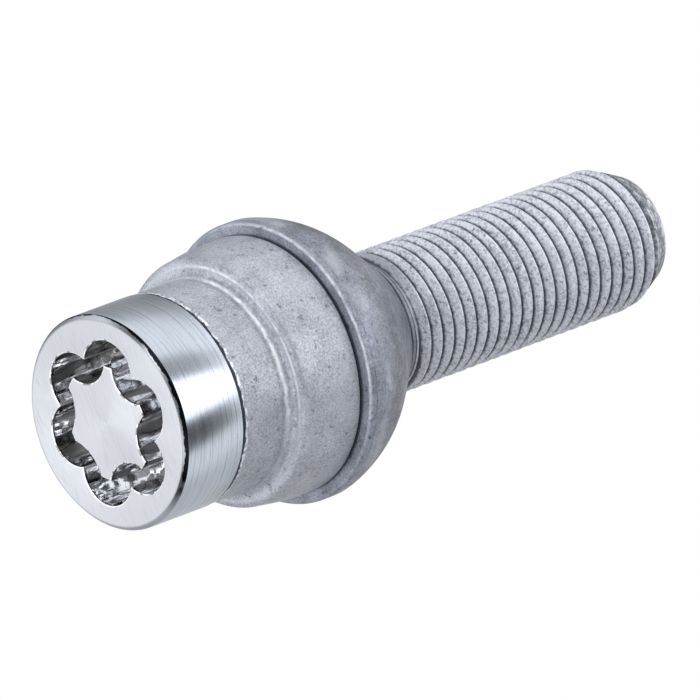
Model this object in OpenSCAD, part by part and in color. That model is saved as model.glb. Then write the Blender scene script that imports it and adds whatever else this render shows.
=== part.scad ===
// Locking wheel bolt with a loose ball seat ring, standing on its head.
// The origin is the centre of the head's front face. +Z runs along the axis to the thread's tip.
// The bolt is one forged and turned piece. The seat ring turns freely on its neck.
// The key groove's shape is given seen from the thread side, so from the front it is mirrored.

/* [Head] */
// Diameter of the bright turned head
head_d = 20.8; // [19.6:0.1:21.2]
// Length of the bright turned band, from the front face
bright_l = 7.4; // [4:0.05:9]
// Chamfer at the front rim
rim_chamfer = 0.4; // [0.2:0.1:1]
// Depth by which the coated neck behind the bright band is smaller in radius
coat_step = 0.08; // [0.02:0.01:0.2]
// Distance from the front face to the shoulder
shoulder_z = 13.85; // [12:0.05:16]
// Fillet where the head meets the shoulder
shoulder_fillet = 0.85; // [0.3:0.05:1]

/* [Key groove] */
// Depth of the groove
key_depth = 5; // [2:0.5:7]
// Distance from the axis to the top and bottom lobes of the outer wall
lobe_near = 4.85; // [4.4:0.05:5]
// Distance from the axis to the four side lobes of the outer wall
lobe_far = 5; // [4.6:0.05:5.2]
// Radius of the top and bottom lobes
lobe_near_r = 3.05; // [2.8:0.05:3.2]
// Radius of the four side lobes
lobe_far_r = 3.15; // [2.9:0.05:3.3]
// Radius of the island that the groove leaves standing, at its points
island_r = 5.6; // [5.2:0.05:5.9]
// Height of the island over its flattened top and bottom points
island_h = 10.4; // [9.8:0.1:10.8]
// Depth of the two upper bays, measured from the axis
bay_upper = 3.9; // [3.6:0.05:4.2]
// Depth of the side bays, measured from the axis
bay_side = 4; // [3.7:0.05:4.3]
// Depth of the two lower bays, measured from the axis
bay_lower = 4.35; // [4.1:0.05:4.6]
// Radius of the upper and side bays
bay_r = 3; // [2.8:0.05:3.4]
// Radius of the lower bays
bay_lower_r = 4; // [3.6:0.05:4.4]
// Angle between each lower bay and the lobe at the bottom
bay_lower_angle = 27; // [25:0.5:31]

/* [Flange] */
// Diameter at the shoulder's edge
shoulder_d = 24.2; // [23.8:0.1:24.6]
// Rounding of the shoulder's edge
shoulder_round = 0.7; // [0.2:0.1:0.9]
// Diameter of the flange at its rear edge
flange_d = 25; // [24.7:0.1:26]
// Length over which the flange flares to its full diameter
flare_l = 3.1; // [2:0.1:4.5]
// Length of the flange, from the shoulder to its rear face
flange_l = 6.85; // [5.5:0.05:9]
// Rounding of the flange's rear edge
flange_round = 0.25; // [0.1:0.05:0.5]

/* [Shank] */
// Diameter of the plain neck that carries the seat ring
neck_d = 13; // [12.6:0.1:13.4]
// Play of the seat ring along the neck, between the flange and the thread
ring_play = 1.05; // [0.45:0.05:3]
// Crest diameter of the thread
thread_d = 13.9; // [13.75:0.05:14]
// Length of the full thread
thread_l = 31.15; // [20:0.05:50]
// Length of the tapered tip
tip_l = 3.2; // [1.5:0.1:4]
// Diameter of the flat end
tip_d = 11; // [9.5:0.1:12]

/* [Seat ring] */
// Gap between the flange and the ring, taken from the play
ring_gap = 0.25; // [0.15:0.05:0.4]
// Diameter of the ring's lip
lip_d = 27.3; // [26.4:0.1:27.6]
// Rounding of the lip's front edge
lip_round = 0.4; // [0.2:0.1:0.6]
// Radius of the ball seat
ball_r = 14; // [13.9:0.1:14.6]
// Distance from the ring's front face back to the centre of the ball seat
ball_back = 1.35; // [1:0.05:1.6]
// Steepest angle of the seat, where the ball runs out into a cone
seat_angle = 40; // [37:0.5:42]
// Wall thickness left at the ring's rear rim
rear_wall = 0.4; // [0.3:0.05:0.8]
// Radial clearance between the ring and the neck
bore_clearance = 0.3; // [0.15:0.05:0.35]
// Chamfer at the bore's front edge
bore_chamfer = 0.8; // [0.3:0.1:1.2]

/* [Hidden] */
$fn = 128;
over = 1;

head_r = head_d / 2;
coated_r = head_r - coat_step;
shoulder_r = shoulder_d / 2;
flange_r = flange_d / 2;
neck_r = neck_d / 2;
thread_r = thread_d / 2;
tip_r = tip_d / 2;
flange_z = shoulder_z + flange_l;
flare_end_z = shoulder_z + shoulder_round + flare_l;

ring_z = flange_z + ring_gap;
lip_r = lip_d / 2;
bore_r = neck_r + bore_clearance;
rear_r = bore_r + rear_wall;
ball_z = ring_z - ball_back;
cone_z = ball_z + ball_r * sin(seat_angle);
cone_r = ball_r * cos(seat_angle);
rear_z = cone_z + (cone_r - rear_r) / tan(seat_angle);

neck_end_z = rear_z + ring_play - ring_gap;
thread_z = neck_end_z + thread_r - neck_r;
tip_z = thread_z + thread_l;
end_z = tip_z + tip_l;

top_angle = 90;
bottom_angle = 270;
side_lobe_angles = [30, 150, 210, 330];
upper_bay_angles = [60, 120];
side_bay_angles = [0, 180];
lower_bay_angles = [bottom_angle - bay_lower_angle, bottom_angle + bay_lower_angle];

// Material that fills the hollow corner between a wall and the face above it
module hollow_corner(r, z, radius) {
    difference() {
        translate([r - over, z - radius])
            square([radius + over, radius + over]);
        translate([r + radius, z - radius])
            circle(r = radius);
    }
}

// What is cut off an outer corner to round it; up is 1 for a top corner and -1 for a bottom one
module outer_corner(r, z, radius, up) {
    difference() {
        translate([r, z - up * radius / 2])
            square([2 * radius, radius], center = true);
        translate([r - radius, z - up * radius])
            circle(r = radius);
    }
}

// Straight outline of the bolt's half section, in (radius, height)
module bolt_outline() {
    polygon([
        [0, 0],
        [head_r - rim_chamfer, 0],
        [head_r, rim_chamfer],
        [head_r, bright_l],
        [coated_r, bright_l],
        [coated_r, shoulder_z],
        [shoulder_r, shoulder_z],
        [shoulder_r, shoulder_z + shoulder_round],
        [flange_r, flare_end_z],
        [flange_r, flange_z],
        [neck_r, flange_z],
        [neck_r, neck_end_z],
        [thread_r, thread_z],
        [thread_r, tip_z],
        [tip_r, end_z],
        [0, end_z]
    ]);
}

// Half section of the bolt without its key groove
module bolt_section() {
    difference() {
        union() {
            bolt_outline();
            hollow_corner(coated_r, shoulder_z, shoulder_fillet);
        }
        outer_corner(shoulder_r, shoulder_z, shoulder_round, -1);
        outer_corner(flange_r, flange_z, flange_round, 1);
    }
}

// Half section of the seat ring: a ball seat that runs out into a cone
module ring_section() {
    difference() {
        union() {
            intersection() {
                translate([bore_r, ring_z])
                    square([lip_r - bore_r, cone_z - ring_z]);
                translate([0, ball_z])
                    circle(r = ball_r);
            }
            polygon([
                [bore_r, cone_z - over],
                [cone_r, cone_z],
                [rear_r, rear_z],
                [bore_r, rear_z]
            ]);
        }
        outer_corner(lip_r, ring_z, lip_round, -1);
        polygon([
            [bore_r - over, ring_z - over],
            [bore_r + bore_chamfer + over, ring_z - over],
            [bore_r - over, ring_z + bore_chamfer + over]
        ]);
    }
}

// A circle whose centre lies at a given distance and angle from the axis
module circle_at(distance, angle, radius) {
    rotate([0, 0, angle])
        translate([distance, 0])
            circle(r = radius);
}

// Outer wall of the key groove: six lobes
module key_lobes() {
    for (angle = [top_angle, bottom_angle])
        circle_at(lobe_near, angle, lobe_near_r);
    for (angle = side_lobe_angles)
        circle_at(lobe_far, angle, lobe_far_r);
}

// The island that stands flush inside the groove: a star with six hollow bays
module key_island() {
    difference() {
        intersection() {
            circle(r = island_r);
            square([2 * island_r + over, island_h], center = true);
        }
        for (angle = upper_bay_angles)
            circle_at(bay_upper + bay_r, angle, bay_r);
        for (angle = side_bay_angles)
            circle_at(bay_side + bay_r, angle, bay_r);
        for (angle = lower_bay_angles)
            circle_at(bay_lower + bay_lower_r, angle, bay_lower_r);
    }
}

// The wavy groove that the key fits, open at the front face
module key_groove() {
    translate([0, 0, -over])
        linear_extrude(height = key_depth + over)
            difference() {
                key_lobes();
                key_island();
            }
}

// The bolt: bright head, coated shoulder and flange, neck and threaded shank
module bolt() {
    color([0.70, 0.71, 0.74])
        difference() {
            rotate_extrude()
                bolt_section();
            key_groove();
        }
}

// The loose ring with the ball seat that centres the bolt in the wheel
module seat_ring() {
    color([0.62, 0.63, 0.67])
        rotate_extrude()
            ring_section();
}

bolt();
seat_ring();
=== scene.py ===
"""Looks of a locking wheel bolt that stands on its head.

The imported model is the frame. Two detailed pieces stand for its two solids: the
bolt with its wavy key groove and its rolled thread, and the loose ball seat ring.
"""

import logging
import math
from collections.abc import Iterable, Sequence
from dataclasses import dataclass, field
from enum import Enum
from functools import partial, reduce
from typing import Any, NamedTuple

import bmesh
import bpy
from mathutils import Matrix, Vector, noise


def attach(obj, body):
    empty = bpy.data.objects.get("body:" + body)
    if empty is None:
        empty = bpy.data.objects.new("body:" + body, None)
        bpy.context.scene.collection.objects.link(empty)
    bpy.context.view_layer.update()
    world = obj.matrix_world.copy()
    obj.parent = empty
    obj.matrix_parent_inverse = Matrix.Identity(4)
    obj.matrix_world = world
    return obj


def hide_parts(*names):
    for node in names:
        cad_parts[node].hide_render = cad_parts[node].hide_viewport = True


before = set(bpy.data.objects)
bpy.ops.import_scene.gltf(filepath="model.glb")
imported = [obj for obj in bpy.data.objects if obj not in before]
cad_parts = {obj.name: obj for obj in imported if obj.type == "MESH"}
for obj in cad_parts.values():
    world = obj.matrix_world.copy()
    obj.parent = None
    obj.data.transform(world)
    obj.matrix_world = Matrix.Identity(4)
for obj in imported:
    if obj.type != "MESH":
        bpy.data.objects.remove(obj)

log = logging.getLogger("wheel_bolt")

MM = 0.001
TURN = 2.0 * math.pi
NEAR = 0.01
SHARP_DEG = 38.0
UP = Vector((0.0, 0.0, 1.0))

Mesh = bmesh.types.BMesh
Edge = bmesh.types.BMEdge
Vert = bmesh.types.BMVert
Face = bmesh.types.BMFace
Socket = bpy.types.NodeSocket
Material = bpy.types.Material
Triple = tuple[float, float, float]
Colour = Triple
Span = tuple[float, float]
Ramp = Sequence[Span]


class Slot(Enum):
    """Material slots of the bolt's mesh, by their index."""

    TURNED = 0
    GROOVE = 1
    COATED = 2


# ---------------------------------------------------------------- mesh tools


def spin(
    bm: Mesh,
    geom: list[Any],
    steps: int,
    angle: float = TURN,
    centre: Vector = Vector(),
    axis: Vector = UP,
    climb: float = 0.0,
    merge: bool = False,
) -> dict[str, Any]:
    """Turns geometry about an axis.

    Args:
        bm: The mesh.
        geom: What is turned.
        steps: Number of steps.
        angle: Angle in radians, right-handed about the axis.
        centre: A point of the axis, in metres.
        axis: Direction of the axis.
        climb: Rise along +Z at each step, in metres.
        merge: Whether the last step is joined to the first.

    Returns:
        What the operator returns.
    """
    return bmesh.ops.spin(
        bm,
        geom=geom,
        cent=centre,
        axis=axis,
        dvec=(0.0, 0.0, climb),
        angle=angle,
        steps=steps,
        use_merge=merge,
        use_duplicate=False,
    )


class Pen:
    """Draws a wire in a bmesh: straight runs are extruded, arcs are spun."""

    def __init__(self, bm: Mesh, start: Vector) -> None:
        """Puts the pen down.

        Args:
            bm: The mesh that the wire is drawn in.
            start: First point, in millimetres.
        """
        self.bm = bm
        self.tip = bm.verts.new(start * MM)
        self.edges: list[Edge] = []

    def line(self, end: Vector) -> None:
        """Draws a straight run.

        Args:
            end: Its end, in millimetres.
        """
        made = bmesh.ops.extrude_vert_indiv(self.bm, verts=[self.tip])
        self.tip = made["verts"][0]
        self.tip.co = end * MM
        self.edges += made["edges"]

    def arc(self, centre: Vector, axis: Vector, angle: float, steps: int) -> None:
        """Draws an arc.

        Args:
            centre: Centre of the arc, in millimetres.
            axis: Direction of the axis that the arc turns about.
            angle: Angle of the arc, in radians, right-handed about the axis.
            steps: Number of straight steps.
        """
        before = set(self.bm.edges)
        made = spin(self.bm, [self.tip], steps, angle, centre * MM, axis)
        self.tip = next(g for g in made["geom_last"] if isinstance(g, Vert))
        self.edges += [e for e in self.bm.edges if e not in before]

    def wire(self) -> list[Any]:
        """All that has been drawn, vertices first."""
        return [*{v for e in self.edges for v in e.verts}, *self.edges]


def radius_of(co: Vector) -> float:
    """Distance of a point from the bolt's axis, in millimetres."""
    return math.hypot(co.x, co.y) / MM


def share(value: float) -> float:
    """A value held between 0 and 1."""
    return min(max(value, 0.0), 1.0)


def weld(bm: Mesh, dist: float, verts: Sequence[Vert] | None = None) -> None:
    """Merges vertices, all if none are given, that lie within a distance in millimetres."""
    bmesh.ops.remove_doubles(bm, verts=bm.verts if verts is None else verts, dist=dist * MM)


def fill_flat(bm: Mesh, edges: list[Edge]) -> None:
    """Fills the flat area between closed lines."""
    bmesh.ops.triangle_fill(bm, use_beauty=True, use_dissolve=False, edges=edges)


def assign(faces: Iterable[Face], slot: Slot) -> None:
    """Gives faces a material slot."""
    for face in faces:
        face.material_index = slot.value


def extrude_loop(bm: Mesh, loop: list[Edge]) -> tuple[list[Edge], set[Vert]]:
    """Extrudes a closed line.

    Args:
        bm: The mesh.
        loop: The line's edges.

    Returns:
        The edges of the new line and its vertices, still where the old ones are.
    """
    made = bmesh.ops.extrude_edge_only(bm, edges=loop)["geom"]
    edges = [g for g in made if isinstance(g, Edge)]
    return edges, {v for e in edges for v in e.verts}


def open_edges(bm: Mesh, height: float) -> list[Edge]:
    """Border edges of a mesh at one height.

    Args:
        bm: The mesh.
        height: Height of the border, in millimetres.

    Returns:
        The edges that have one face at most and lie at that height.
    """
    return [
        e
        for e in bm.edges
        if len(e.link_faces) < 2 and all(abs(v.co.z / MM - height) < NEAR for v in e.verts)
    ]


def turn_outline(bm: Mesh, pen: Pen, steps: int) -> None:
    """Turns a drawn wire once round the bolt's axis and closes it."""
    spin(bm, pen.wire(), steps, merge=True)
    weld(bm, 0.001)


def round_ring(bm: Mesh, at: Span, size: float, segments: int) -> None:
    """Rounds the ring of edges that a corner of the outline makes.

    Args:
        bm: The turned mesh.
        at: The corner as (height, radius), in millimetres.
        size: Distance from the corner at which the rounding starts, in millimetres.
        segments: Number of facets across the rounding.
    """
    height, radius = at
    ring = [
        e
        for e in bm.edges
        if all(
            abs(v.co.z / MM - height) < NEAR and abs(radius_of(v.co) - radius) < NEAR
            for v in e.verts
        )
    ]
    bmesh.ops.bevel(
        bm,
        geom=ring,
        offset=size * MM,
        offset_type="OFFSET",
        segments=segments,
        profile=0.5,
        affect="EDGES",
        clamp_overlap=True,
        material=-1,
    )


def close_up(bm: Mesh) -> None:
    """Merges doubles, turns the faces outwards and marks the sharp edges.

    Args:
        bm: The whole mesh of a piece.
    """
    weld(bm, 0.002)
    bmesh.ops.dissolve_degenerate(bm, dist=0.0005 * MM, edges=bm.edges)
    bmesh.ops.recalc_face_normals(bm, faces=bm.faces)
    limit = math.radians(SHARP_DEG)
    for face in bm.faces:
        face.smooth = True
    for edge in bm.edges:
        edge.smooth = edge.calc_face_angle(0.0) < limit


def make_piece(name: str, bm: Mesh, materials: Sequence[Material]) -> bpy.types.Object:
    """Makes a finished object of a bmesh, at the origin.

    Args:
        name: Name of the piece.
        bm: Its mesh in metres, which is freed.
        materials: Its materials, in the order of their slots.

    Returns:
        The object, linked to the scene.
    """
    mesh = bpy.data.meshes.new(name)
    bm.to_mesh(mesh)
    bm.free()
    for material in materials:
        mesh.materials.append(material)
    piece = bpy.data.objects.new(name, mesh)
    bpy.context.scene.collection.objects.link(piece)
    return piece


def circle_crossing(c1: Vector, r1: float, c2: Vector, r2: float) -> Vector:
    """The crossing of two circles in the face's plane that lies further from the axis.

    Args:
        c1: Centre of the first circle.
        r1: Its radius.
        c2: Centre of the second circle.
        r2: Its radius.

    Returns:
        The crossing.
    """
    gap = c2 - c1
    dist = gap.length
    along = (r1 * r1 - r2 * r2 + dist * dist) / (2.0 * dist)
    off = math.sqrt(max(r1 * r1 - along * along, 0.0))
    foot = c1 + gap * (along / dist)
    side = Vector((-gap.y, gap.x, 0.0)) / dist
    return max((foot + side * off, foot - side * off), key=lambda p: p.length)


def polar(distance: float, angle_deg: float) -> Vector:
    """A point in the face's plane, from its distance and its angle from +X."""
    a = math.radians(angle_deg)
    return Vector((distance * math.cos(a), distance * math.sin(a), 0.0))


def arc_angle(centre: Vector, start: Vector, end: Vector, sense: int) -> float:
    """Angle of an arc in the face's plane.

    Args:
        centre: Its centre.
        start: Where it starts.
        end: Where it ends.
        sense: 1 if it turns left and -1 if it turns right.

    Returns:
        The angle in radians, less than 0 for a turn to the right.
    """
    a, b = start - centre, end - centre
    angle = math.atan2(b.y, b.x) - math.atan2(a.y, a.x)
    return angle % TURN if sense > 0 else -((-angle) % TURN)


# ------------------------------------------------------------ material tools


class Patches(NamedTuple):
    """Soft-edged patches: a noise's scale, detail and roughness, and its value's rise."""

    scale: Any
    detail: float
    rough: float
    low: float
    high: float


class Line(NamedTuple):
    """A line round the axis: its height, radius and half width in millimetres, its strength."""

    height: float
    radius: float
    half: float
    strength: float


class Board:
    """A short way to place and join the nodes of one node tree."""

    def __init__(self, tree: bpy.types.NodeTree) -> None:
        """Keeps the tree, emptied."""
        self.tree = tree
        tree.nodes.clear()

    def add(
        self, kind: str, inputs: dict[str | int, Any] | None = None, **settings: Any
    ) -> bpy.types.Node:
        """Adds a node.

        Args:
            kind: Type name of the node.
            inputs: Values or sockets for its inputs, by name or index.
            settings: Properties of the node.

        Returns:
            The node.
        """
        node = self.tree.nodes.new(kind)
        for key, value in settings.items():
            setattr(node, key, value)
        for key, value in (inputs or {}).items():
            self.feed(node.inputs[key], value)
        return node

    def feed(self, socket: Socket, value: Any) -> None:
        """Links a socket to an input, or writes a value to it.

        Args:
            socket: The input.
            value: A socket, a number, a vector or a colour; a colour may lack its alpha.
        """
        if isinstance(value, Socket):
            self.tree.links.new(value, socket)
        elif socket.type == "RGBA" and len(value) == 3:
            socket.default_value = (*value, 1.0)
        else:
            socket.default_value = value

    def use(self, group: bpy.types.NodeTree, values: dict[str, Any]) -> Any:
        """Places a node group with its own values and returns its outputs."""
        return self.add("ShaderNodeGroup", values, node_tree=group).outputs

    def math(self, operation: str, *values: Any, clamp: bool = False) -> Socket:
        """A Math node's result."""
        inputs = dict(enumerate(values))
        return self.add("ShaderNodeMath", inputs, operation=operation, use_clamp=clamp).outputs[0]

    def times(self, *values: Any) -> Any:
        """The product of some numbers."""
        return reduce(partial(self.math, "MULTIPLY"), values)

    def plus(self, *values: Any) -> Any:
        """The sum of some numbers."""
        return reduce(partial(self.math, "ADD"), values)

    def most(self, *values: Any) -> Any:
        """The largest of some numbers."""
        return reduce(partial(self.math, "MAXIMUM"), values)

    def minus(self, first: Any, second: Any) -> Socket:
        """The difference of two numbers."""
        return self.math("SUBTRACT", first, second)

    def vector(self, operation: str, *values: Any) -> Socket:
        """A Vector Math node's result."""
        node = self.add("ShaderNodeVectorMath", dict(enumerate(values)), operation=operation)
        return node.outputs["Value" if operation in ("DOT_PRODUCT", "LENGTH") else "Vector"]

    def split(self, place: Any) -> Any:
        """The outputs X, Y and Z of a vector."""
        return self.add("ShaderNodeSeparateXYZ", {"Vector": place}).outputs

    def azimuth(self, place: Any) -> Socket:
        """Angle about the bolt's axis, in radians, from the +Y side."""
        axes = self.split(place)
        return self.math("ARCTAN2", axes["X"], axes["Y"])

    def rise(self, value: Any, low: Any, high: Any) -> Socket:
        """A value's smooth rise from 0 at low to 1 at high."""
        inputs = {"Value": value, "From Min": low, "From Max": high}
        return self.add("ShaderNodeMapRange", inputs, interpolation_type="SMOOTHSTEP").outputs[0]

    def rise_mm(self, value: Any, low: float, high: float) -> Socket:
        """A length's smooth rise between two values given in millimetres."""
        return self.rise(value, low * MM, high * MM)

    def band(self, value: Any, centre: Any, half: Any) -> Socket:
        """1 where a value is at a centre, falling to 0 at half a width from it."""
        return self.rise(self.math("ABSOLUTE", self.minus(value, centre)), half, 0.0)

    def band_mm(self, value: Any, centre: float, half: float) -> Socket:
        """A band round a length, with its centre and half width in millimetres."""
        return self.band(value, centre * MM, half * MM)

    def mix(self, factor: Any, first: Any, second: Any) -> Socket:
        """A mix of two colours."""
        inputs = {0: factor, 6: first, 7: second}
        return self.add("ShaderNodeMix", inputs, data_type="RGBA").outputs[2]

    def blend(self, factor: Any, first: Any, second: Any) -> Socket:
        """A mix of two numbers."""
        inputs = {0: factor, 2: first, 3: second}
        return self.add("ShaderNodeMix", inputs, data_type="FLOAT").outputs[0]

    def noise(self, place: Any, scale: Any, detail: float, rough: float) -> Socket:
        """A noise texture's value."""
        inputs = {"Vector": place, "Scale": scale, "Detail": detail, "Roughness": rough}
        return self.add("ShaderNodeTexNoise", inputs).outputs["Fac"]

    def patches(self, place: Any, kind: Patches) -> Socket:
        """1 inside soft-edged patches and 0 outside them."""
        texture = self.noise(place, kind.scale, kind.detail, kind.rough)
        return self.rise(texture, kind.low, kind.high)

    def stray(self, place: Any, scale: float, rough: float) -> Socket:
        """Noise from -0.5 to 0.5, which lets an edge stray."""
        return self.minus(self.noise(place, scale, 3.0, rough), 0.5)

    def ramp(self, value: Any, stops: Ramp) -> Socket:
        """A value's course through given stops.

        Args:
            value: The value.
            stops: The stops, as (position, height) pairs.

        Returns:
            The height at the value.
        """
        node = self.add("ShaderNodeValToRGB", {"Fac": value})
        elements = node.color_ramp.elements
        while len(elements) < len(stops):
            elements.new(1.0)
        for element, (position, height) in zip(elements, sorted(stops)):
            element.position = position
            element.color = (height, height, height, 1.0)
        return node.outputs["Color"]


def new_group(
    name: str, inputs: dict[str, float | None], outputs: Sequence[str]
) -> tuple[Board, Any, Any]:
    """Starts a shader node group.

    Args:
        name: Name of the group.
        inputs: Its inputs; None makes a vector input, a number makes a value input.
        outputs: Names of its value outputs.

    Returns:
        The group's board, the sockets that bring its inputs and those that take its outputs.
    """
    tree = bpy.data.node_groups.new(name, "ShaderNodeTree")
    for label, default in inputs.items():
        kind = "NodeSocketVector" if default is None else "NodeSocketFloat"
        socket = tree.interface.new_socket(name=label, in_out="INPUT", socket_type=kind)
        if default is not None:
            socket.default_value = default
    for label in outputs:
        tree.interface.new_socket(name=label, in_out="OUTPUT", socket_type="NodeSocketFloat")
    board = Board(tree)
    return board, board.add("NodeGroupInput").outputs, board.add("NodeGroupOutput").inputs


class Effects:
    """Node groups of the finishes, built once."""

    def __init__(self) -> None:
        """Builds the groups."""
        self.grain = self._grain()
        self.turning = self._turning()
        self.painted_light_line = self._painted_light_line()

    @staticmethod
    def _grain() -> bpy.types.NodeTree:
        """Sandy grain, soft mottles and small pits of a dip-spun coat.

        Returns:
            The group. Its inputs are the place and the three scales.
        """
        shapes = {
            "Grain": (5200.0, 3.0, 0.62, 0.3, 0.7),
            "Mottle": (320.0, 4.0, 0.6, 0.34, 0.66),
            "Pit": (1500.0, 2.0, 0.5, 0.63, 0.72),
        }
        scales = {label: shape[0] for label, shape in shapes.items()}
        board, source, sink = new_group("coat_grain", {"Place": None, **scales}, list(shapes))
        for label, (_, *shape) in shapes.items():
            kind = Patches(source[label], *shape)
            board.feed(sink[label], board.patches(source["Place"], kind))
        return board.tree

    @staticmethod
    def _turning() -> bpy.types.NodeTree:
        """Fine rings that a turning tool leaves, along one coordinate in metres.

        Returns:
            The group. Its inputs are the place, the coordinate and the fine rings' scale.
        """
        inputs = {"Place": None, "Along": 0.0, "Scale": 9000.0}
        board, source, sink = new_group("turning_marks", inputs, ("Marks", "Bands"))
        angle = board.azimuth(source["Place"])
        for label, scale, slant, rough in (
            ("Marks", source["Scale"], 1.3, 0.6),
            ("Bands", 900.0, 0.6, 0.5),
        ):
            at = {"X": board.times(source["Along"], scale), "Y": board.times(angle, slant)}
            unrolled = board.add("ShaderNodeCombineXYZ", at).outputs[0]
            board.feed(sink[label], board.noise(unrolled, 1.0, 2.0, rough))
        return board.tree

    @staticmethod
    def _painted_light_line() -> bpy.types.NodeTree:
        """A broken painted line round the axis, used for painted highlights and for painted shade,
        clearest on the side between the camera and the key lamp.

        Returns:
            The group. Its inputs are the place, its cylinder coordinates and the line's.
        """
        inputs = {
            "Place": None,
            "Radius": 0.0,
            "Height": 0.0,
            "Line radius": 0.01,
            "Line height": 0.01,
            "Half width": 0.0003,
            "Strength": 1.0,
        }
        board, source, sink = new_group("painted_light_line", inputs, ("Mask",))
        place, half = source["Place"], source["Half width"]
        stray = board.times(board.stray(place, 1000.0, 0.65), 0.42 * MM)
        level = board.plus(source["Height"], stray)
        line = board.times(
            board.band(level, source["Line height"], half),
            board.band(source["Radius"], source["Line radius"], half),
            source["Strength"],
        )
        broken = board.patches(place, Patches(1300.0, 3.0, 0.6, 0.4, 0.58))
        angle = board.azimuth(place)
        # Painted light is strongest from about -50° to 100° from +Y, the side that faces the
        # camera and the key lamp.
        lit_side = board.times(board.rise(angle, -0.9, -0.1), board.rise(angle, 1.7, 0.9))
        mask = board.times(
            line,
            board.plus(0.45, board.times(broken, 0.55)),
            board.plus(0.22, board.times(lit_side, 0.78)),
        )
        board.feed(sink["Mask"], mask)
        return board.tree


class Surface(Board):
    """The board of a material, with Object coordinates in metres.

    It holds the place on the piece, the distance from the axis and the height.
    """

    def __init__(self, name: str) -> None:
        """Starts the material.

        Args:
            name: Its name.
        """
        self.material = bpy.data.materials.new(name)
        self.material.use_nodes = True
        super().__init__(self.material.node_tree)
        self.place = self.add("ShaderNodeTexCoord").outputs["Object"]
        self.height = self.split(self.place)["Z"]
        flat = self.vector("MULTIPLY", self.place, (1.0, 1.0, 0.0))
        self.radius = self.vector("LENGTH", flat)

    def finish(self, inputs: dict[str, Any], relief: Any, depth: float) -> Material:
        """Adds the shader, its bump and the output.

        Args:
            inputs: Values or sockets for the shader's inputs.
            relief: Socket of the relief, from 0 to 1.
            depth: Depth of the relief, in millimetres.

        Returns:
            The material.
        """
        bump = {"Height": relief, "Distance": depth * MM, "Strength": 1.0}
        normal = self.add("ShaderNodeBump", bump).outputs["Normal"]
        shader = self.add("ShaderNodeBsdfPrincipled", {**inputs, "Normal": normal})
        self.add("ShaderNodeOutputMaterial", {"Surface": shader.outputs[0]})
        return self.material


# ------------------------------------------------------------------ finishes


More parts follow.
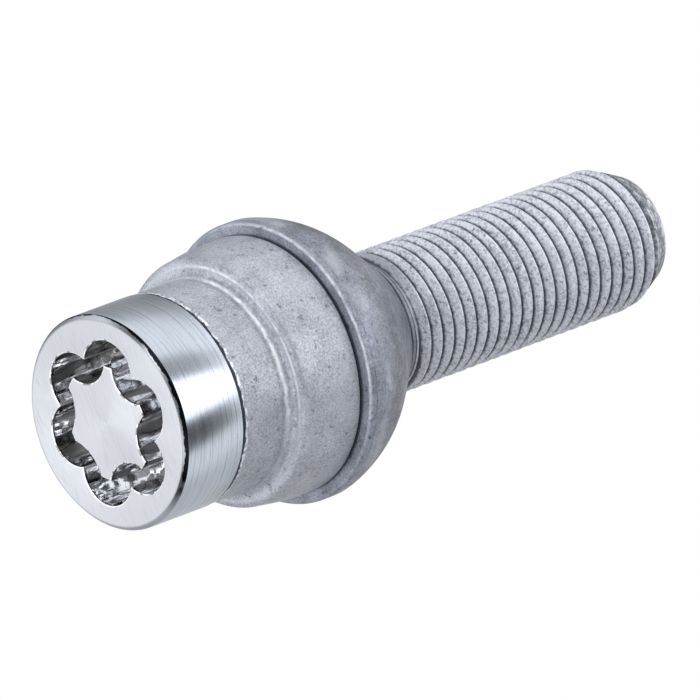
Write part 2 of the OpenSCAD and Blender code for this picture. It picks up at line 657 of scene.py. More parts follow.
@dataclass(frozen=True)
class TurnedSteel:
    """Bare steel, turned bright: the front face and the band behind it."""

    name: str = "bright_turned_steel"
    colour: Colour = (0.72, 0.785, 0.885)
    face_colour: Colour = (0.708, 0.734, 0.784)
    mark_colour: Colour = (0.34, 0.37, 0.43)
    rim_reflection_colour: Colour = (0.012, 0.013, 0.018)
    roughness: float = 0.22
    anisotropy: float = 0.75
    mark_scale: float = 9000.0
    mark_depth: float = 0.0012
    band_from: Span = (10.2, 10.36)
    scores: tuple[Span, ...] = (
        (1.2, 0.35),
        (1.95, 0.6),
        (2.5, 0.3),
        (3.2, 0.6),
        (4.3, 0.3),
        (5.45, 0.9),
        (6.1, 0.3),
        (6.7, 0.6),
    )
    score_half: float = 0.09
    score_breaks: Patches = Patches(500.0, 3.0, 0.6, 0.35, 0.6)

    def build(self, effects: Effects) -> Material:
        """Makes the material.

        Args:
            effects: The shared node groups.

        Returns:
            The material.
        """
        on = Surface(self.name)
        side = on.rise_mm(on.radius, *self.band_from)
        along = on.blend(side, on.radius, on.height)
        turning = on.use(
            effects.turning, {"Place": on.place, "Along": along, "Scale": self.mark_scale}
        )
        scores = on.times(self._scores(on), side, on.patches(on.place, self.score_breaks))
        marks = on.blend(side, self._brushing(on), turning["Marks"])
        shade = on.times(on.rise(marks, 0.48, 0.8), on.blend(side, 0.4, 0.7))
        shade = on.math("ADD", shade, scores, clamp=True)
        colour = on.mix(shade, on.mix(side, self.face_colour, self.colour), self.mark_colour)
        edge = on.times(on.rise_mm(on.radius, 9.8, 9.98), on.rise_mm(on.height, 0.4, 0.3))
        colour = on.mix(on.times(edge, 0.6), colour, self.mark_colour)
        # The rim's chamfer gets a painted dark reflection.
        colour = on.mix(self._rim_reflection(on), colour, self.rim_reflection_colour)
        normal = on.add("ShaderNodeNewGeometry").outputs["Normal"]
        around = on.vector("CROSS_PRODUCT", tuple(UP), on.place)
        across = on.vector("CROSS_PRODUCT", normal, around)
        return on.finish(
            {
                "Base Color": colour,
                "Metallic": 1.0,
                "Roughness": on.plus(self.roughness, on.times(turning["Bands"], 0.08)),
                "Anisotropic": self.anisotropy,
                "Tangent": on.vector("NORMALIZE", across),
            },
            on.minus(marks, on.times(scores, 0.8)),
            self.mark_depth,
        )

    def _scores(self, on: Surface) -> Socket:
        """The deeper rings that the tool scored round the band."""
        lines = ((on.band_mm(on.height, z, self.score_half), depth) for z, depth in self.scores)
        return on.most(*(on.times(line, depth) for line, depth in lines))

    @staticmethod
    def _brushing(on: Surface) -> Socket:
        """Faint straight brush lines and clouds on the face.

        Args:
            on: The material's surface.

        Returns:
            Their mask.
        """
        lines = on.noise(on.vector("MULTIPLY", on.place, (0.09, 1.0, 1.0)), 5200.0, 3.0, 0.6)
        clouds = on.noise(on.vector("MULTIPLY", on.place, (0.5, 1.0, 1.0)), 420.0, 3.0, 0.6)
        return on.plus(on.times(lines, 0.6), on.times(clouds, 0.42))

    @staticmethod
    def _rim_reflection(on: Surface) -> Socket:
        """A painted dark reflection on the rim's chamfer, over the side that faces the camera.

        Args:
            on: The material's surface.

        Returns:
            Its mask.
        """
        angle = on.azimuth(on.place)
        ragged = on.stray(on.place, 800.0, 0.65)
        lower = on.plus(on.height, on.times(ragged, 0.5 * MM))
        lower = on.minus(lower, on.times(on.rise(angle, 0.3, 1.2), 0.17 * MM))
        # The band of painted dark reflection across the chamfer, kept to the side that faces the
        # camera.
        scale = on.times(on.rise_mm(lower, 0.08, 0.15), on.rise_mm(on.height, 0.44, 0.38))
        around = on.plus(angle, on.times(ragged, 0.5))
        kept = on.times(on.rise(around, -1.05, -0.8), on.rise(around, 2.2, 1.8))
        return on.times(scale, kept)


@dataclass(frozen=True)
class GrooveSteel:
    """The pressed walls of the key groove, shiny and uneven."""

    name: str = "key_groove_steel"
    colour: Colour = (0.90, 0.915, 0.94)
    stain_and_shade_colour: Colour = (0.19, 0.184, 0.184)
    crease_colour: Colour = (0.018, 0.019, 0.024)
    roughness: float = 0.07
    wave_depth: float = 0.1

    def build(self) -> Material:
        """Makes the material.

        Returns:
            The material.
        """
        on = Surface(self.name)
        stretched = on.vector("MULTIPLY", on.place, (1.0, 1.0, 0.25))
        cusp = self._cusps(on)
        clear = on.minus(1.0, cusp)
        stain_and_shade = on.times(self._stains_and_shade(on, stretched), clear)
        colour = on.mix(stain_and_shade, self.colour, self.stain_and_shade_colour)
        creases = on.noise(stretched, 1000.0, 0.0, 0.5)
        crease = on.times(on.band(creases, 0.46, 0.022), 0.8, clear)
        colour = on.mix(crease, colour, self.crease_colour)
        rough = on.plus(self.roughness, on.times(stain_and_shade, 0.25), on.times(cusp, 0.5))
        return on.finish(
            {"Base Color": colour, "Metallic": 1.0, "Roughness": rough},
            on.noise(stretched, 1100.0, 0.0, 0.5),
            self.wave_depth,
        )

    @staticmethod
    def _stains_and_shade(on: Surface, stretched: Socket) -> Socket:
        """Stains that run down the walls, commoner deeper down as painted shade, save on the
        outermost ridges, and a painted shadow line under the lip.

        Args:
            on: The material's surface.
            stretched: The place, drawn out along the depth.

        Returns:
            Their mask.
        """
        # Painted shade: the stains grow commoner deeper in the groove.
        deep_shade = on.rise_mm(on.height, 0.3, 2.6)
        patch = on.plus(on.noise(stretched, 700.0, 2.0, 0.5), on.times(deep_shade, 0.08))
        ridge = on.times(on.rise_mm(on.radius, 7.3, 7.1), on.rise_mm(on.radius, 5.2, 5.4))
        stain_and_shade = on.times(on.rise(patch, 0.55, 0.58), 0.85, on.minus(1.0, ridge))
        # A painted shadow line just under the face's edge.
        lip = on.times(on.band_mm(on.height, 0.26, 0.12), on.rise(patch, 0.4, 0.5))
        return on.most(stain_and_shade, lip)

    @staticmethod
    def _cusps(on: Surface) -> Socket:
        """The six ridges between the outer wall's lobes, which stay clean.

        Args:
            on: The material's surface.

        Returns:
            Their mask.
        """
        axes = on.split(on.place)
        angle = on.math("ARCTAN2", axes["Y"], axes["X"])
        sixth = on.math("ABSOLUTE", on.math("SINE", on.times(angle, 3.0)))
        return on.times(
            on.rise(sixth, 0.09, 0.04),
            on.rise_mm(on.radius, 5.9, 6.0),
            on.rise_mm(on.radius, 6.6, 6.4),
        )


@dataclass(frozen=True)
class FlakeCoat:
    """Grey zinc flake coat: matt, sandy, with painted highlight lines and painted shade lines at
    its edges.
    """

    name: str
    colour: Colour
    dark_colour: Colour
    highlight_lines: tuple[Line, ...]
    shaded_lines: tuple[Line, ...] = ()
    wear_and_highlight_colour: Colour = (0.93, 0.955, 1.0)
    dirt_and_shade_colour: Colour = (0.021, 0.029, 0.052)
    roughness: float = 0.32
    metallic: float = 0.5
    grain_scale: float = 5200.0
    mottle_scale: float = 320.0
    pit_scale: float = 1500.0
    grain_depth: float = 0.02

    def build(self, effects: Effects) -> Material:
        """Makes the material.

        Args:
            effects: The shared node groups.

        Returns:
            The material.
        """
        on = Surface(self.name)
        scales = {"Grain": self.grain_scale, "Mottle": self.mottle_scale, "Pit": self.pit_scale}
        grain = on.use(effects.grain, {"Place": on.place, **scales})
        fine, soft, pit = (grain[label] for label in scales)
        shade = on.plus(on.times(fine, 0.58), on.times(soft, 0.26), on.times(pit, 0.5))
        colour = self._ground(on, shade)
        # Painted shade lines, then painted highlight lines over them.
        colour = self._lines(on, effects, self.shaded_lines, (colour, self.dark_colour))
        colour = self._lines(on, effects, self.highlight_lines, (colour, self.wear_and_highlight_colour))
        return on.finish(
            {
                "Base Color": self._cover(on, colour),
                "Metallic": self.metallic,
                "Roughness": on.plus(self.roughness, on.times(fine, 0.1)),
            },
            on.minus(on.plus(fine, on.times(soft, 1.5)), pit),
            self.grain_depth,
        )

    def _ground(self, on: Surface, shade: Socket) -> Socket:
        """The coat's colour under the lines, darkened by its grain's shade."""
        return on.mix(shade, self.colour, self.dark_colour)

    def _cover(self, on: Surface, colour: Socket) -> Socket:
        """The coat's colour with what lies over the lines: nothing, on a plain coat."""
        return colour

    @staticmethod
    def _lines(
        on: Surface, effects: Effects, lines: tuple[Line, ...], colours: tuple[Any, Any]
    ) -> Socket:
        """Draws lines round the axis.

        Args:
            on: The material's surface.
            effects: The shared node groups.
            lines: The lines.
            colours: The coat's colour and the lines' colour.

        Returns:
            The colour with the lines.
        """
        masks = [
            on.use(
                effects.painted_light_line,
                {
                    "Place": on.place,
                    "Radius": on.radius,
                    "Height": on.height,
                    "Line radius": line.radius * MM,
                    "Line height": line.height * MM,
                    "Half width": line.half * MM,
                    "Strength": line.strength,
                },
            )["Mask"]
            for line in lines
        ]
        return on.mix(on.most(*masks), *colours) if masks else colours[0]


@dataclass(frozen=True)
class BoltCoat(FlakeCoat):
    """The bolt's coat, torn behind the band, with painted shade in the thread's roots and behind
    the ring, and burnt at the tip.
    """

    name: str = "bolt_flake_coat"
    colour: Colour = (0.602, 0.63, 0.713)
    dark_colour: Colour = (0.2, 0.215, 0.255)
    # Painted highlights on the neck's fillet and on the shoulder's face.
    highlight_lines: tuple[Line, ...] = (Line(13.2, 10.42, 0.3, 1.0), Line(13.86, 11.32, 0.27, 1.0))
    shaded_lines: tuple[Line, ...] = (
        Line(12.72, 10.32, 0.34, 0.6),
        Line(13.62, 10.62, 0.42, 0.75),
        Line(13.95, 11.92, 0.5, 0.6),
    )
    thread_colour: Colour = (0.687, 0.715, 0.796)
    thread_from: Span = (33.5, 35.0)
    blotches: Patches = Patches(2900.0, 3.0, 0.7, 0.42, 0.62)
    tip_from: Span = (65.6, 66.6)
    end_from: Span = (67.9, 68.2)
    streaks: Patches = Patches(2200.0, 3.0, 0.65, 0.28, 0.58)
    burn: float = 0.84
    root_radius: float = 6.03
    root_shade: float = 0.86
    shade_lift: float = 0.525
    neck_end: float = 33.99
    torn_edge: float = 7.4

    def _ground(self, on: Surface, shade: Socket) -> Socket:
        """The coat's colour under the lines, blotched on the thread and burnt at the tip.

        Args:
            on: The material's surface.
            shade: The shade of the coat's grain.

        Returns:
            The colour.
        """
        threaded = on.rise_mm(on.height, *self.thread_from)
        blotch = on.times(on.minus(on.patches(on.place, self.blotches), 0.9), 0.5)
        shade = on.math("ADD", shade, on.times(blotch, threaded), clamp=True)
        colour = on.mix(threaded, self.colour, self.thread_colour)
        colour = on.mix(shade, colour, self.dark_colour)
        along = on.vector("MULTIPLY", on.place, (0.6, 0.6, 1.0))
        burnt = on.times(
            on.patches(along, self.streaks),
            on.rise_mm(on.height, *self.tip_from),
            on.blend(on.rise_mm(on.height, *self.end_from), 1.0, 0.6),
            self.burn,
        )
        return on.mix(burnt, colour, self.dirt_and_shade_colour)

    def _cover(self, on: Surface, colour: Socket) -> Socket:
        """The coat's colour with painted shade on the first ridge, in the thread's roots and on
        the neck, and the torn edge.

        Args:
            on: The material's surface.
            colour: The coat's colour.

        Returns:
            The colour.
        """
        # Painted shade on the upper side of the first full ridge, next to the ring.
        first = on.times(
            on.rise_mm(on.height, 34.0, 34.15),
            on.rise_mm(on.height, 35.7, 35.2),
            on.rise(on.azimuth(on.place), -0.1, 0.8),
            0.6,
        )
        colour = on.mix(first, colour, self.dark_colour)
        # Painted shade in the roots and on the neck.
        colour = on.mix(on.most(self._root_shade(on), self._neck_shade(on)), colour, self.dirt_and_shade_colour)
        return self._tear(on, colour)

    def _root_shade(self, on: Surface) -> Socket:
        """Painted shade in the thread's roots, which climbs higher towards the ±X sides.

        Args:
            on: The material's surface.

        Returns:
            Its mask.
        """
        # The painted shade climbs the flanks towards ±X, where the roots are seen edge-on.
        square_on = on.math("ABSOLUTE", on.math("COSINE", on.azimuth(on.place)))
        lift = on.times(on.minus(1.0, square_on), self.shade_lift * MM)
        stray = on.times(on.stray(on.place, 2300.0, 0.65), 0.36 * MM)
        level = on.minus(on.radius, on.plus(lift, stray))
        root = on.rise_mm(level, self.root_radius + 0.3, self.root_radius + 0.08)
        threaded = on.times(on.rise_mm(on.height, 33.8, 34.6), on.rise_mm(on.height, 66.6, 66.0))
        return on.times(root, threaded, self.root_shade)

    def _neck_shade(self, on: Surface) -> Socket:
        """Painted shade in the gap behind the ring, on the neck and in a line before the thread.

        Args:
            on: The material's surface.

        Returns:
            Its mask.
        """
        # Painted shade under the ring's rear rim, on the neck and in the corner before the first
        # ridge.
        gap = on.times(on.rise_mm(on.height, 33.75, 33.62), 0.95)
        strip = on.times(on.rise_mm(on.height, 34.0, 33.9), 0.5)
        line = on.times(on.band_mm(on.height, self.neck_end, 0.17), 0.95)
        neck = on.most(gap, on.most(strip, line))
        return on.times(neck, on.rise_mm(on.height, 20.0, 22.0))

    def _tear(self, on: Surface, colour: Socket) -> Socket:
        """The ragged start of the coat behind the turned band.

        Args:
            on: The material's surface.
            colour: The coat's colour.

        Returns:
            The colour with a dark line, bright specks and dark flakes.
        """
        ragged = on.times(on.stray(on.place, 700.0, 0.6), 0.9 * MM)
        away = on.minus(on.plus(on.height, ragged), self.torn_edge * MM)
        flakes = on.patches(on.place, Patches(1100.0, 3.0, 0.7, 0.55, 0.62))
        flakes = on.times(flakes, on.rise_mm(away, 1.5, 0.2), 0.6)
        specks = on.patches(on.place, Patches(1900.0, 2.0, 0.5, 0.46, 0.54))
        specks = on.times(specks, on.rise_mm(away, 0.82, 0.55), 0.9)
        colour = on.mix(flakes, colour, self.dark_colour)
        # Bright specks of bare metal where the coat flaked.
        colour = on.mix(specks, colour, self.wear_and_highlight_colour)
        return on.mix(on.rise_mm(away, 0.44, 0.34), colour, self.dirt_and_shade_colour)


@dataclass(frozen=True)
class RingCoat(FlakeCoat):
    """The ring's darker coat, with a scuffed belt, a rear that is made darker, painted shade by
    the gap and painted highlight lines.
    """

    name: str = "ring_flake_coat"
    colour: Colour = (0.41, 0.44, 0.53)
    dark_colour: Colour = (0.115, 0.128, 0.17)
    # Painted highlights on the lip and on the rear rim.
    highlight_lines: tuple[Line, ...] = (Line(21.05, 13.45, 0.24, 0.5), Line(32.72, 7.22, 0.32, 1.0))
    scuff_colour: Colour = (0.58, 0.60, 0.66)
    rear_shade: float = 0.4
    belt_height: float = 24.2
    lip_height: float = 21.7

    def _ground(self, on: Surface, shade: Socket) -> Socket:
        """The coat's colour under the lines, with its belt, its lip's line and painted shade on
        its front by the gap.

        Args:
            on: The material's surface.
            shade: The shade of the coat's grain.

        Returns:
            The colour.
        """
        cloud = on.noise(on.place, 240.0, 3.0, 0.6)
        level = on.plus(on.height, on.times(cloud, 3.0 * MM))
        # The seat is made darker towards the rear.
        rear = on.times(on.rise_mm(level, 24.0, 27.5), self.rear_shade)
        mottle = on.times(on.patches(on.place, Patches(800.0, 3.0, 0.65, 0.35, 0.65)), 0.24)
        colour = super()._ground(on, shade)
        colour = on.vector("MULTIPLY", colour, on.minus(1.0, on.plus(rear, mottle)))
        belt = on.times(on.band_mm(level, self.belt_height, 1.9), 0.5)
        belt = on.times(belt, on.patches(on.place, Patches(170.0, 2.0, 0.6, 0.42, 0.6)))
        colour = on.mix(belt, colour, self.scuff_colour)
        line = on.times(on.band_mm(on.height, self.lip_height, 0.13), 0.45)
        line = on.times(line, on.patches(on.place, Patches(900.0, 2.0, 0.5, 0.38, 0.55)))
        colour = on.mix(line, colour, self.dirt_and_shade_colour)
        # Painted shade on the front face, next to the gap to the flange.
        inner = on.rise_mm(on.radius, 12.64, 12.4)
        front = on.times(inner, on.rise_mm(on.height, 21.3, 21.1), 0.7)
        return on.mix(front, colour, self.dirt_and_shade_colour)


# -------------------------------------------------------------- sub-assembly


@dataclass
class KeyGroove:
    """The wavy groove in the face and the island that it leaves. Sizes in millimetres.

    Each bay of the island is its angle, its depth from the axis and its radius. The wall's
    rounding is given as (share of its width, share of its depth) pairs.
    """

    depth: float = 5.0
    lobe_near: Span = (4.85, 3.05)
    lobe_far: Span = (5.0, 3.15)
    near_angles: Span = (90, 270)
    island_r: float = 5.6
    island_half: float = 5.2
    bays: tuple[Triple, ...] = (
        (0.0, 4.0, 3.0),
        (60.0, 3.9, 3.0),
        (120.0, 3.9, 3.0),
        (180.0, 4.0, 3.0),
        (243.0, 4.35, 4.0),
        (297.0, 4.35, 4.0),
    )
    edge: float = 0.15
    edge_steps: tuple[Span, ...] = ((1.0, 0.0), (0.42, 0.08), (0.1, 0.35), (0.0, 1.0))
    levels: tuple[float, ...] = (0.35, 0.6, 0.85, 1.1, 1.4, 1.7, 2.0, 2.4, 2.8, 3.3, 4.0)
    arc_steps: int = 20
    rim_steps: int = 4
    ripple: float = 0.04
    ripple_seed: int = 7
    ripple_scale: float = 1100.0
    ripple_stretch: float = 0.3
    ripple_fade: Span = (0.2, 0.6)

    def outer_loop(self, bm: Mesh, grow: float, z: float) -> list[Edge]:
        """Draws the outer wall's line: six lobes.

        Args:
            bm: The mesh that it is drawn in.
            grow: Distance by which the line is widened.
            z: Its height.

        Returns:
            The edges of the closed line.
        """
        lobes = []
        for angle in range(30, 360, 60):
            away, radius = self.lobe_near if angle in self.near_angles else self.lobe_far
            lobes.append((polar(away, angle), radius + grow))
        up = UP * z
        cusps = [circle_crossing(*lobes[i - 1], *lobes[i]) for i in range(6)]
        pen = Pen(bm, cusps[0] + up)
        for i, (centre, _) in enumerate(lobes):
            angle = arc_angle(centre, cusps[i], cusps[(i + 1) % 6], 1)
            pen.arc(centre + up, UP, angle, self.arc_steps)
        return self._closed(bm, pen)

    def island_loop(self, bm: Mesh, grow: float, z: float) -> list[Edge]:
        """Draws the island's line: six points with hollow bays between them.

        Args:
            bm: The mesh that it is drawn in.
            grow: Distance by which the line is widened; less than 0 narrows it.
            z: Its height.

        Returns:
            The edges of the closed line.
        """
        up = UP * z
        rim, half = self.island_r + grow, self.island_half + grow
        ends: list[tuple[Vector, Vector, Vector]] = []
        for angle, depth, r in self.bays:
            centre, r = polar(depth + r, angle), r - grow
            away = centre.length
            spread = math.degrees(math.acos((away**2 + rim**2 - r**2) / (2.0 * away * rim)))
            first, last = polar(rim, angle - spread), polar(rim, angle + spread)
            first, last = (self._to_flat(p, centre, r, half) for p in (first, last))
            ends.append((centre, first, last))
        pen = Pen(bm, ends[0][1] + up)
        for i, (centre, first, last) in enumerate(ends):
            following = ends[(i + 1) % len(ends)][1]
            pen.arc(centre + up, UP, arc_angle(centre, first, last, -1), self.arc_steps)
            if abs(abs(last.y) - half) < 1e-6 and abs(last.y - following.y) < 1e-6:
                pen.line((last + following) / 2.0 + up)
                pen.line(following + up)
            else:
                pen.arc(up, UP, arc_angle(Vector(), last, following, 1), self.rim_steps)
        return self._closed(bm, pen)

    @staticmethod
    def _to_flat(point: Vector, centre: Vector, r: float, half: float) -> Vector:
        """Moves a bay's end to the island's flat top or bottom, if it lies past it.

        Args:
            point: The bay's end on the round rim.
            centre: The bay's centre.
            r: Its radius.
            half: Distance of the flats from the axis.

        Returns:
            The bay's end.
        """
        if abs(point.y) <= half:
            return point
        y = math.copysign(half, point.y)
        across = math.sqrt(r * r - (y - centre.y) ** 2)
        return Vector((centre.x - math.copysign(across, centre.x), y, 0.0))

    @staticmethod
    def _closed(bm: Mesh, pen: Pen) -> list[Edge]:
        """Joins the pen's last point to its first.

        Args:
            bm: The mesh.
            pen: The pen.

        Returns:
            The edges of the closed line.
        """
        verts = {v for e in pen.edges if e.is_valid for v in e.verts}
        known = set(bm.edges) - set(pen.edges)
        weld(bm, 0.001, list(verts))
        return [e for e in bm.edges if e not in known]

    def cut(self, bm: Mesh, rim: list[Edge]) -> None:
        """Builds the face with the groove's walls, its floor and the island.

        Args:
            bm: The head's turned mesh, open at the front.
            rim: The border of the front face.
        """
        steps = [(self.edge * g, self.edge * z) for g, z in self.edge_steps]
        outer = [self.outer_loop(bm, g, z) for g, z in steps]
        inner = [self.island_loop(bm, -g, z) for g, z in steps]
        before = set(bm.faces)
        fill_flat(bm, rim + outer[0])
        fill_flat(bm, inner[0])
        face = [f for f in bm.faces if f not in before]
        before = set(bm.faces)
        floor = []
        for loops in (outer, inner):
            for low, high in zip(loops, loops[1:]):
                bmesh.ops.bridge_loops(bm, edges=low + high)
            floor += self._sink(bm, loops[-1])
        fill_flat(bm, floor)
        walls = [f for f in bm.faces if f not in before]
        assign(face, Slot.TURNED)
        assign(walls, Slot.GROOVE)
        for f in face:
            f.tag = True
        self._press({v for f in walls for v in f.verts})

    def _sink(self, bm: Mesh, loop: list[Edge]) -> list[Edge]:
        """Extrudes a wall's line down to the floor, level by level.

        Args:
            bm: The mesh.
            loop: The wall's line.

        Returns:
            The wall's line at the floor.
        """
        for z in (*self.levels, self.depth):
            loop, verts = extrude_loop(bm, loop)
            for v in verts:
                v.co.z = z * MM
        return loop

    def _press(self, verts: Iterable[Vert]) -> None:
        """Ripples the walls a little along their depth, as the punch left them.

        Args:
            verts: The walls' vertices.
        """
        top, bottom = self.ripple_fade
        noise.seed_set(self.ripple_seed)
        for v in verts:
            z = v.co.z / MM
            fade = share((z - self.edge) / top) * share((self.depth - z) / bottom)
            at = Vector((v.co.x, v.co.y, v.co.z * self.ripple_stretch)) * self.ripple_scale
            shift = noise.noise_vector(at) * self.ripple * MM * fade
            v.co += Vector((shift.x, shift.y, 0.0))


@dataclass
class Thread:
    """The rolled thread, its run-out and its tapered tip. Sizes in millimetres."""

    pitch: float = 1.5
    crest_r: float = 6.95
    root_r: float = 6.03
    flank_deg: float = 30.0
    crest_half: Span = (0.07, 0.13)
    crest_drop: Span = (0.01, 0.06)
    root_lift: float = 0.03
    neck_r: float = 6.5
    start_z: float = 33.6
    full_z: float = 35.2
    first_crest_z: float = 33.85
    tip_z: float = 65.2
    end_z: float = 68.4
    tip_r: float = 5.5
    tip_rings: tuple[Span, ...] = ((5.25, 0.0), (3.3, 0.0), (2.9, -0.25), (1.0, -0.3))
    steps: int = 128
    wear: float = 0.035
    wear_scales: Span = (900.0, 260.0)

    def ridge(self) -> list[Span]:
        """One ridge of the thread.

        Returns:
            Its points from root to root, as (height from the crest, radius).
        """
        flat, soft = self.crest_half
        low = self.root_r + self.root_lift
        high = self.crest_r - self.crest_drop[1]
        foot = soft + (high - low) * math.tan(math.radians(self.flank_deg))
        half = [
            (0.0, self.crest_r),
            (flat, self.crest_r - self.crest_drop[0]),
            (soft, high),
            ((soft + foot) / 2.0, (high + low) / 2.0),
            (foot, low),
            (self.pitch / 2.0, self.root_r),
        ]
        return [(-z, r) for z, r in reversed(half[1:])] + half

    def build(self) -> Mesh:
        """Rolls the thread.

        Returns:
            The thread's mesh, open at its lower end.
        """
        bm = bmesh.new()
        turns = int((self.end_z - self.start_z) / self.pitch) + 4
        low = self.first_crest_z - 2.0 * self.pitch
        points = [Vector((0.0, r, low + z)) for z, r in self.ridge()]
        pen = Pen(bm, points[0])
        for point in points[1:]:
            pen.line(point)
        spin(bm, pen.wire(), self.steps, climb=self.pitch * MM / self.steps)
        turn = [*bm.verts, *bm.edges, *bm.faces]
        for count in range(1, turns):
            made = bmesh.ops.duplicate(bm, geom=turn)["geom"]
            moved = [g for g in made if isinstance(g, Vert)]
            bmesh.ops.translate(bm, verts=moved, vec=(0.0, 0.0, count * self.pitch * MM))
        weld(bm, 0.003)
        self._shape(bm)
        self._trim(bm, self.start_z, -1.0)
        self._trim(bm, self.end_z, 1.0)
        weld(bm, 0.004)
        self._cap(bm)
        return bm

    def _shape(self, bm: Mesh) -> None:
        """Lets the ridges grow out of the neck, tapers the tip and dents the crests.

        Args:
            bm: The thread's mesh.
        """
        slope = (self.tip_r - self.crest_r) / (self.end_z - self.tip_z)
        for v in bm.verts:
            z, r = v.co.z / MM, radius_of(v.co)
            grow = share((z - self.start_z - 0.1) / (self.full_z - self.start_z))
            grow = grow * grow * (3.0 - 2.0 * grow)
            crest = max((r - self.root_r) / (self.crest_r - self.root_r), 0.0)
            dent = sum(noise.noise(v.co * scale) for scale in self.wear_scales) * self.wear
            new = self.neck_r + (r - abs(dent) * crest**3 - self.neck_r) * grow
            new = min(new, self.crest_r + slope * (z - self.tip_z))
            v.co.x *= new / r
            v.co.y *= new / r

    def _trim(self, bm: Mesh, z: float, side: float) -> None:
        """Cuts off what lies past a height.

        Args:
            bm: The thread's mesh.
            z: The height.
            side: 1 to cut what lies above it and -1 to cut what lies below it.
        """
        bmesh.ops.bisect_plane(
            bm,
            geom=[*bm.verts, *bm.edges, *bm.faces],
            dist=0.0001 * MM,
            plane_co=(0.0, 0.0, z * MM),
            plane_no=(0.0, 0.0, side),
            clear_outer=True,
            clear_inner=False,
        )

    def _cap(self, bm: Mesh) -> None:
        """Closes the tip with a rounded edge and a shallow dish.

        Args:
            bm: The thread's mesh.
        """
        ring = open_edges(bm, self.end_z)
        for r, z in self.tip_rings:
            ring, verts = extrude_loop(bm, ring)
            for v in verts:
                old = radius_of(v.co)
                v.co = Vector((v.co.x * r / old, v.co.y * r / old, (self.end_z + z) * MM))
        fill_flat(bm, ring)


@dataclass
class Bolt:
    """The one-piece bolt: head, shoulder, flange, neck and thread. Sizes in millimetres."""

    head_r: float = 10.4
    rim_chamfer: float = 0.4
    rim_round: float = 0.1
    bright_z: float = 7.4
    bright_round: float = 0.03
    coat_step: float = 0.05
    coated_r: float = 10.32
    shoulder_z: float = 13.85
    shoulder_fillet: float = 0.85
    shoulder_r: float = 12.1
    shoulder_round: float = 0.7
    shoulder_wall: float = 0.75
    flare_z: float = 17.65
    flare_round: float = 1.2
    flange_r: float = 12.5
    flange_z: float = 20.7
    flange_round: float = 0.25
    neck_gap: float = 0.15
    steps: int = 192
    groove: KeyGroove = field(default_factory=KeyGroove)
    thread: Thread = field(default_factory=Thread)

    def outline(self, bm: Mesh) -> Pen:
        """Draws the head's half section, from the face to the end of the neck.

        Args:
            bm: The mesh that it is drawn in.

        Returns:
            The pen that drew it.
        """
        points = (
            (self.head_r, self.rim_chamfer),
            (self.head_r, self.bright_z),
            (self.coated_r, self.bright_z + self.coat_step),
            (self.coated_r, self.shoulder_z),
            (self.shoulder_r, self.shoulder_z),
            (self.shoulder_r, self.shoulder_z + self.shoulder_wall),
            (self.flange_r, self.flare_z),
            (self.flange_r, self.flange_z),
            (self.thread.neck_r, self.flange_z),
            (self.thread.neck_r, self.thread.start_z - self.neck_gap),
        )
        pen = Pen(bm, Vector((self.head_r - self.rim_chamfer, 0.0, 0.0)))
        for r, z in points:
            pen.line(Vector((r, 0.0, z)))
        return pen

    def build(self, materials: Sequence[Material]) -> bpy.types.Object:
        """Builds the bolt and lets it ride on its body.

        Args:
            materials: Turned steel, groove steel and coat, in this order.

        Returns:
            The piece.
        """
        bm = bmesh.new()
        turn_outline(bm, self.outline(bm), self.steps)
        roundings = (
            ((self.rim_chamfer, self.head_r), self.rim_round, 3),
            ((self.bright_z, self.head_r), self.bright_round, 1),
            ((self.shoulder_z, self.coated_r), self.shoulder_fillet, 8),
            ((self.shoulder_z, self.shoulder_r), self.shoulder_round, 8),
            ((self.flare_z, self.flange_r), self.flare_round, 4),
            ((self.flange_z, self.flange_r), self.flange_round, 4),
        )
        for at, size, segments in roundings:
            round_ring(bm, at, size, segments)
        for face in bm.faces:
            bright = face.calc_center_median().z < self.bright_z * MM
            assign([face], Slot.TURNED if bright else Slot.COATED)
        self.groove.cut(bm, open_edges(bm, 0.0))
        self._join_thread(bm)
        flat = [f for f in bm.faces if f.tag]
        close_up(bm)
        for face in flat:
            if face.is_valid:
                face.smooth = False
        piece = make_piece("bolt_body", bm, materials)
        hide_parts("bolt")
        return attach(piece, "bolt")

    def _join_thread(self, bm: Mesh) -> None:
        """Adds the rolled thread to the neck.

        Args:
            bm: The head's mesh, open at the end of the neck.
        """
        rolled = self.thread.build()
        assign(rolled.faces, Slot.COATED)
        held = bpy.data.meshes.new("thread_blank")
        rolled.to_mesh(held)
        rolled.free()
        bm.from_mesh(held)
        bpy.data.meshes.remove(held)
        start = self.thread.start_z
        neck = open_edges(bm, start - self.neck_gap) + open_edges(bm, start)
        assign(bmesh.ops.bridge_loops(bm, edges=neck)["faces"], Slot.COATED)


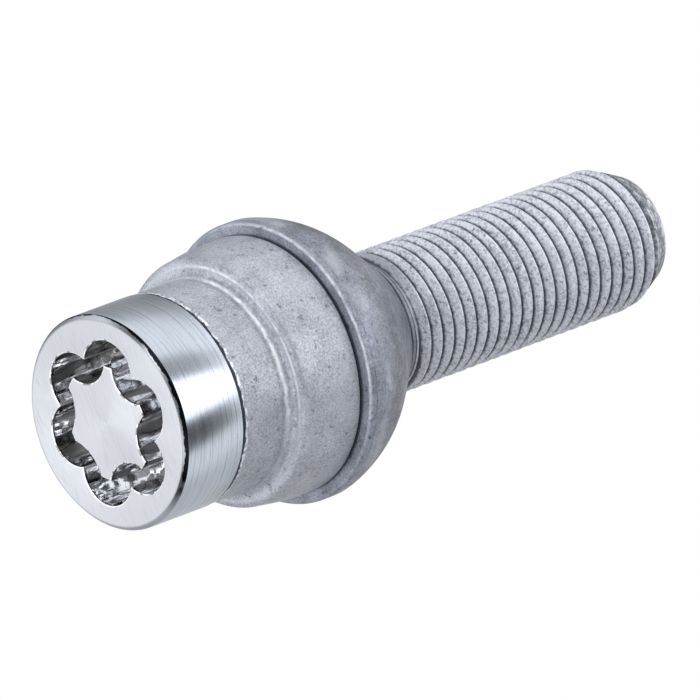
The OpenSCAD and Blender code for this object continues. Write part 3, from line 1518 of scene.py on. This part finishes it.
@dataclass
class SeatRing:
    """The loose ring with the ball seat. Sizes in millimetres."""

    front_z: float = 20.95
    lip_r: float = 13.645
    lip_round: float = 0.4
    ball_r: float = 14.0
    ball_z: float = 19.6
    ball_steps: int = 18
    seat_deg: float = 40.0
    rear_r: float = 7.2
    rear_round: float = 0.22
    bore_r: float = 6.8
    bore_chamfer: float = 0.8
    steps: int = 224

    @property
    def rear_z(self) -> float:
        """Height of the rear rim, where the cone behind the ball seat ends.

        Returns:
            The height.
        """
        seat = math.radians(self.seat_deg)
        cone_r, cone_z = self.ball_r * math.cos(seat), self.ball_z + self.ball_r * math.sin(seat)
        return cone_z + (cone_r - self.rear_r) / math.tan(seat)

    def outline(self, bm: Mesh) -> Pen:
        """Draws the ring's closed half section, from the bore outwards along the front.

        Args:
            bm: The mesh that it is drawn in.

        Returns:
            The pen that drew it.
        """
        lip = math.acos(self.lip_r / self.ball_r)
        lip_z = self.ball_z + self.ball_r * math.sin(lip)
        start = Vector((self.bore_r, 0.0, self.front_z + self.bore_chamfer))
        pen = Pen(bm, start)
        for r, z in (
            (self.bore_r + self.bore_chamfer, self.front_z),
            (self.lip_r, self.front_z),
            (self.lip_r, lip_z),
        ):
            pen.line(Vector((r, 0.0, z)))
        sweep = lip - math.radians(self.seat_deg)
        pen.arc(UP * self.ball_z, Vector((0.0, 1.0, 0.0)), sweep, self.ball_steps)
        pen.line(Vector((self.rear_r, 0.0, self.rear_z)))
        pen.line(Vector((self.bore_r, 0.0, self.rear_z)))
        pen.line(start)
        return pen

    def build(self, material: Material) -> bpy.types.Object:
        """Builds the ring and lets it ride on its body.

        Args:
            material: Its coat.

        Returns:
            The piece.
        """
        bm = bmesh.new()
        turn_outline(bm, self.outline(bm), self.steps)
        round_ring(bm, (self.front_z, self.lip_r), self.lip_round, 6)
        round_ring(bm, (self.rear_z, self.rear_r), self.rear_round, 4)
        close_up(bm)
        piece = make_piece("ball_seat_ring", bm, [material])
        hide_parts("seat_ring")
        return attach(piece, "seat_ring")


# ---------------------------------------------------------------- the studio


@dataclass(frozen=True)
class Studio:
    """Camera, floor, world and lamps. Lengths in metres.

    The rings are soft panels round the bolt, as (azimuth in degrees, brightness) pairs. A
    colour ramp holds heights up to 1, so they are divided by the peak and multiplied again.
    """

    lens: float = 1079.23
    sensor: float = 36.0
    eye: Triple = (-0.001444, 1.47856, -1.25597)
    right: Triple = (-0.34803, 0.61551, 0.70712)
    up: Triple = (0.93748, 0.22850, 0.26251)
    floor_gap: float = 0.0002
    floor_size: float = 1.2
    floor_grey: float = 0.86
    upper_ring: Ramp = (
        (-180, 0.66), (-92, 0.72), (-84, 0.98), (-59, 0.98), (-54, 0.07), (-27, 0.06),
        (-22, 1.75), (13, 1.75), (18, 0.32), (38, 0.32), (46, 0.78), (92, 0.72),
        (112, 0.36), (150, 0.28), (180, 0.5),
    )
    lower_ring: Ramp = (
        (-180, 1.12), (-120, 1.1), (-100, 0.15), (-80, 0.1), (-66, 1.7), (-44, 1.7),
        (-34, 0.1), (30, 0.1), (38, 1.8), (56, 1.8), (66, 0.2), (90, 0.2),
        (110, 1.1), (180, 1.12),
    )
    peak: float = 2.0
    below: float = 2.1
    above: float = 1.6
    opening: float = 0.08
    level: float = 0.95
    upper_gain: float = 0.3
    lamp_size: float = 0.5

    def build(self) -> None:
        """Makes everything that isn't part of the object."""
        bpy.context.scene.view_settings.view_transform = "Standard"
        self._camera()
        self._floor()
        self._world()
        self._lamps()

    def _camera(self) -> None:
        """Looks up at the head's face, as the photograph does."""
        data = bpy.data.cameras.new("photo_camera")
        data.sensor_width = self.sensor
        data.lens = self.lens
        camera = bpy.data.objects.new("photo_camera", data)
        bpy.context.scene.collection.objects.link(camera)
        right, up = Vector(self.right).normalized(), Vector(self.up).normalized()
        back = right.cross(up)
        turn = Matrix((right, back.cross(right), back)).transposed().to_4x4()
        camera.matrix_world = Matrix.Translation(self.eye) @ turn
        bpy.context.scene.camera = camera

    def _floor(self) -> None:
        """A pale floor that only shows from above, so that the camera sees past it from below."""
        bm = bmesh.new()
        bmesh.ops.create_grid(bm, x_segments=1, y_segments=1, size=self.floor_size)
        bmesh.ops.translate(bm, verts=bm.verts, vec=(0.0, 0.0, -self.floor_gap))
        material = bpy.data.materials.new("pale_floor")
        material.use_nodes = True
        board = Board(material.node_tree)
        path = board.add("ShaderNodeLightPath").outputs
        back = board.add("ShaderNodeNewGeometry").outputs["Backfacing"]
        seen = board.times(path["Is Camera Ray"], board.minus(1.0, back))
        clear = board.add("ShaderNodeBsdfTransparent").outputs[0]
        pale = board.add("ShaderNodeBsdfDiffuse", {"Color": (self.floor_grey,) * 3}).outputs[0]
        shader = board.add("ShaderNodeMixShader", {0: seen, 1: clear, 2: pale})
        board.add("ShaderNodeOutputMaterial", {"Surface": shader.outputs[0]})
        make_piece("pale_floor", bm, [material])

    def _world(self) -> None:
        """White to the camera; to the metal, soft panels round the bolt."""
        world = bpy.data.worlds.new("studio")
        bpy.context.scene.world = world
        world.use_nodes = True
        board = Board(world.node_tree)
        way = board.add("ShaderNodeTexCoord").outputs["Generated"]
        high = board.split(way)["Z"]
        turn = board.plus(board.math("DIVIDE", board.azimuth(way), TURN), 0.5)
        upper, lower = (
            board.ramp(turn, [(a / 360.0 + 0.5, h / self.peak) for a, h in ring])
            for ring in (self.upper_ring, self.lower_ring)
        )
        lower = board.mix(board.rise(high, -0.72, -0.93), lower, self._grey(self.below))
        upper = board.mix(board.rise(high, 0.85, 0.96), upper, self._grey(self.above))
        colour = board.mix(board.rise(high, -0.25, 0.1), lower, upper)
        toward = board.vector("DOT_PRODUCT", way, Vector(self.eye).normalized())
        colour = board.mix(board.rise(toward, 0.9, 0.95), colour, self._grey(self.opening))
        lift = board.times(board.vector("DOT_PRODUCT", way, self.up), self.upper_gain)
        strength = board.times(board.plus(self.level, lift), self.peak)
        soft = board.add("ShaderNodeBackground", {"Color": colour, "Strength": strength})
        white = board.add("ShaderNodeBackground", {"Color": (1.0, 1.0, 1.0), "Strength": 1.0})
        seen = board.add("ShaderNodeLightPath").outputs["Is Camera Ray"]
        mixed = {0: seen, 1: soft.outputs[0], 2: white.outputs[0]}
        shader = board.add("ShaderNodeMixShader", mixed)
        board.add("ShaderNodeOutputWorld", {"Surface": shader.outputs[0]})

    def _grey(self, brightness: float) -> Colour:
        """A brightness as a grey of the world, before it is multiplied by the peak."""
        return (brightness / self.peak,) * 3

    def _lamps(self) -> None:
        """Two large soft lamps: one over the photograph's upper side and one beside the camera."""
        toward = Vector(self.eye).normalized()
        lamps = {
            "key_panel": (Vector(self.up) * 0.8 + toward * 0.35, 3.3),
            "front_panel": (toward * 0.8 + Vector((0.15, 0.2, -0.12)), 3.8),
        }
        for name, (place, power) in lamps.items():
            data = bpy.data.lights.new(name, "AREA")
            data.shape = "SQUARE"
            data.size = self.lamp_size
            data.energy = power
            lamp = bpy.data.objects.new(name, data)
            lamp.visible_glossy = False
            bpy.context.scene.collection.objects.link(lamp)
            turn = place.to_track_quat("Z", "Y").to_matrix().to_4x4()
            lamp.matrix_world = Matrix.Translation(place) @ turn


def main() -> None:
    logging.basicConfig(level=logging.INFO, format="%(message)s")
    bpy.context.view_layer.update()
    Studio().build()
    effects = Effects()
    bolt_finish = [TurnedSteel().build(effects), GrooveSteel().build(), BoltCoat().build(effects)]
    for piece in (Bolt().build(bolt_finish), SeatRing().build(RingCoat().build(effects))):
        log.info("%s: %d faces", piece.name, len(piece.data.polygons))


if __name__ == "__main__":
    main()
